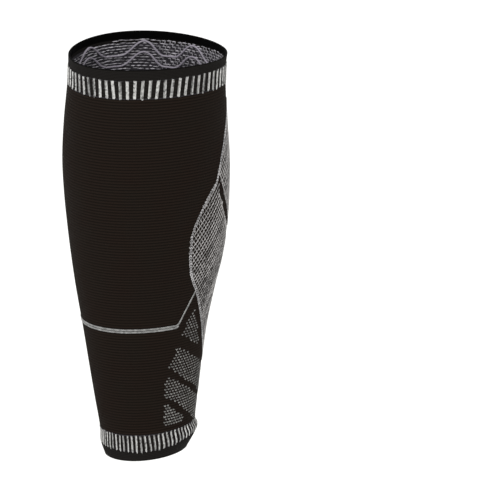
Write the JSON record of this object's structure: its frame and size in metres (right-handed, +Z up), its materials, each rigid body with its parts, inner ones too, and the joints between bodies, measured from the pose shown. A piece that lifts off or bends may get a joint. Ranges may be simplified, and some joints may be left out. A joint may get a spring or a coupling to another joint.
{
  "type": "compression calf sleeve",
  "caption": "Footless knitted compression sleeve for the calf, open at both ends, with ribbed cuffs, a jacquard calf panel, dotted vent zones and wavy grip lines inside the top.",
  "frame": {"origin": "middle of the calf's fullest section, on the leg's axis, about 83 mm under the top rim", "axes": "+Z up the leg, +Y towards the back of the calf, +X towards the leg's outer side"},
  "size_m": [0.1274, 0.128, 0.3156],
  "materials": {
    "black_knit": "fine horizontal-rib knit, soft sheen",
    "ribbed_knit": "black rib with light vertical ribs",
    "grey_jacquard": "grey and black jacquard knit",
    "dotted_jacquard": "grey dots on a black knit",
    "grip": "satin clear grip"
  },
  "bodies": {
    "root": {"top_welt": "black_knit", "top_rib_band": "ribbed_knit", "leg_tube": "black_knit", "hem_rib_band": "ribbed_knit", "hem_welt": "black_knit", "grip_wave_upper": "grip", "grip_wave_lower": "grip", "calf_panel_upper": "grey_jacquard", "calf_panel_lower": "grey_jacquard", "shin_line": "grey_jacquard", "vent_top_outer": "dotted_jacquard", "vent_top_inner": "dotted_jacquard", "vent_bar_upper": "dotted_jacquard", "vent_bar_lower": "dotted_jacquard", "vent_low_outer": "dotted_jacquard", "vent_low_inner": "dotted_jacquard"}
  },
  "joints": []
}
